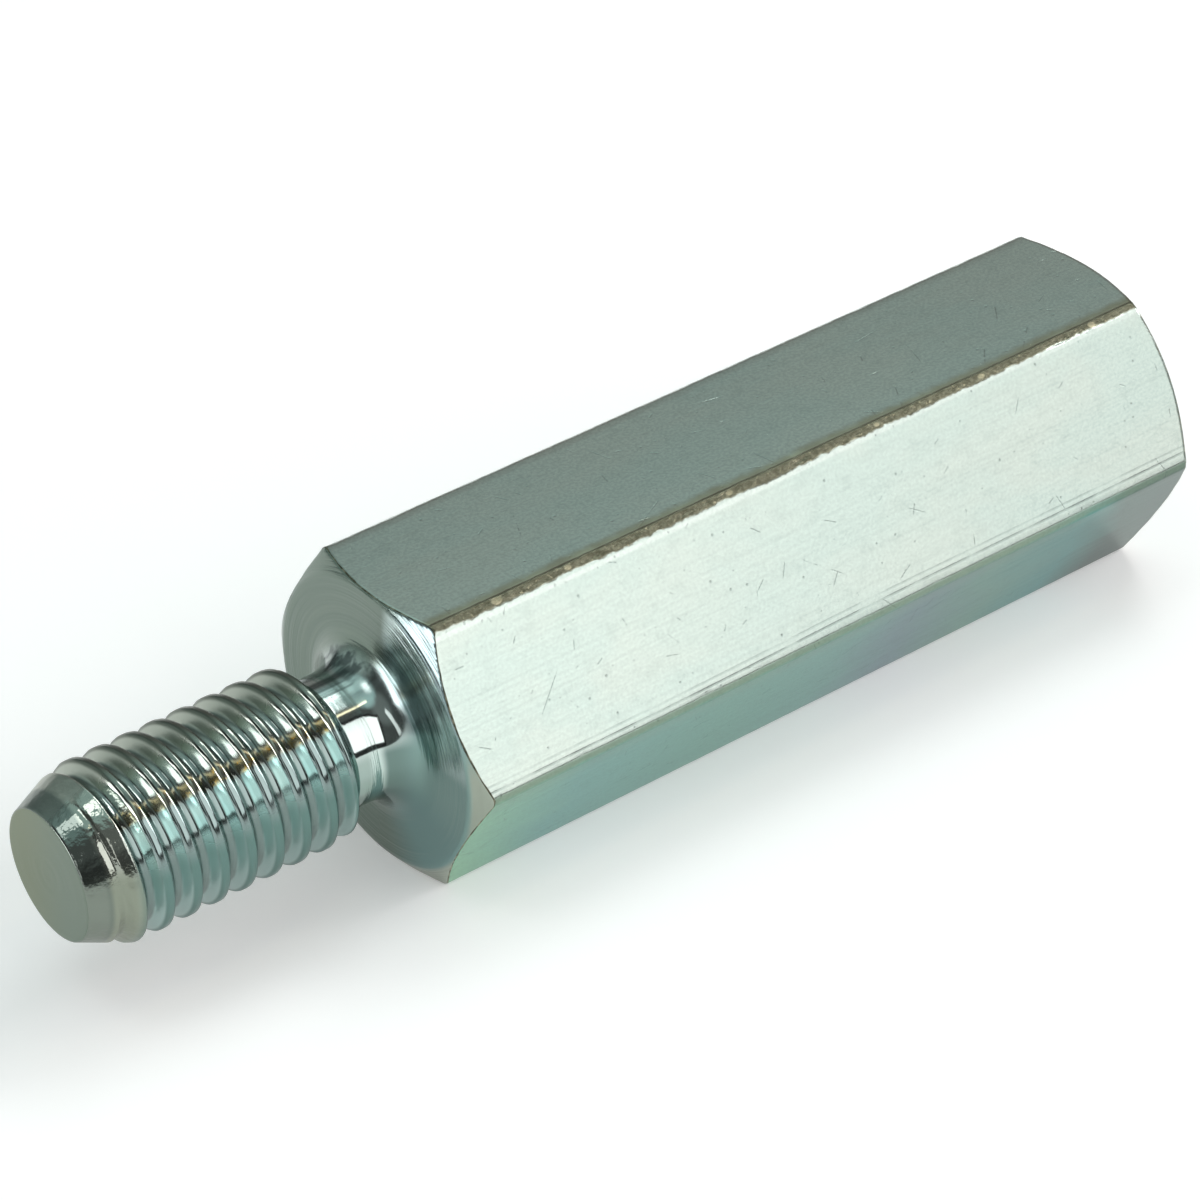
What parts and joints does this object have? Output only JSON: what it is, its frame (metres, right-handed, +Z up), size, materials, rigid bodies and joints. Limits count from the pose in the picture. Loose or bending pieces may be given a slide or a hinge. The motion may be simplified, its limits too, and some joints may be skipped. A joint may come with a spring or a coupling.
{
  "type": "hex standoff",
  "caption": "Male to female hex standoff of zinc-plated steel: hexagonal body with chamfered ends, a threaded stud behind an undercut neck, and a blind threaded hole in the far end.",
  "frame": {"origin": "on the surface the part lies on, under the middle of its box", "axes": "+X along the axis towards the end with the threaded hole, -X towards the stud's tip, +Z up, with one hex flat down and one up"},
  "size_m": [0.042, 0.0114, 0.01],
  "materials": {
    "zinc_plated_steel": "bright zinc plate with a pale blue-green passivation, fine drawing lines along the flats and turning marks on the ends"
  },
  "bodies": {
    "root": {"standoff": "zinc_plated_steel"}
  },
  "joints": []
}
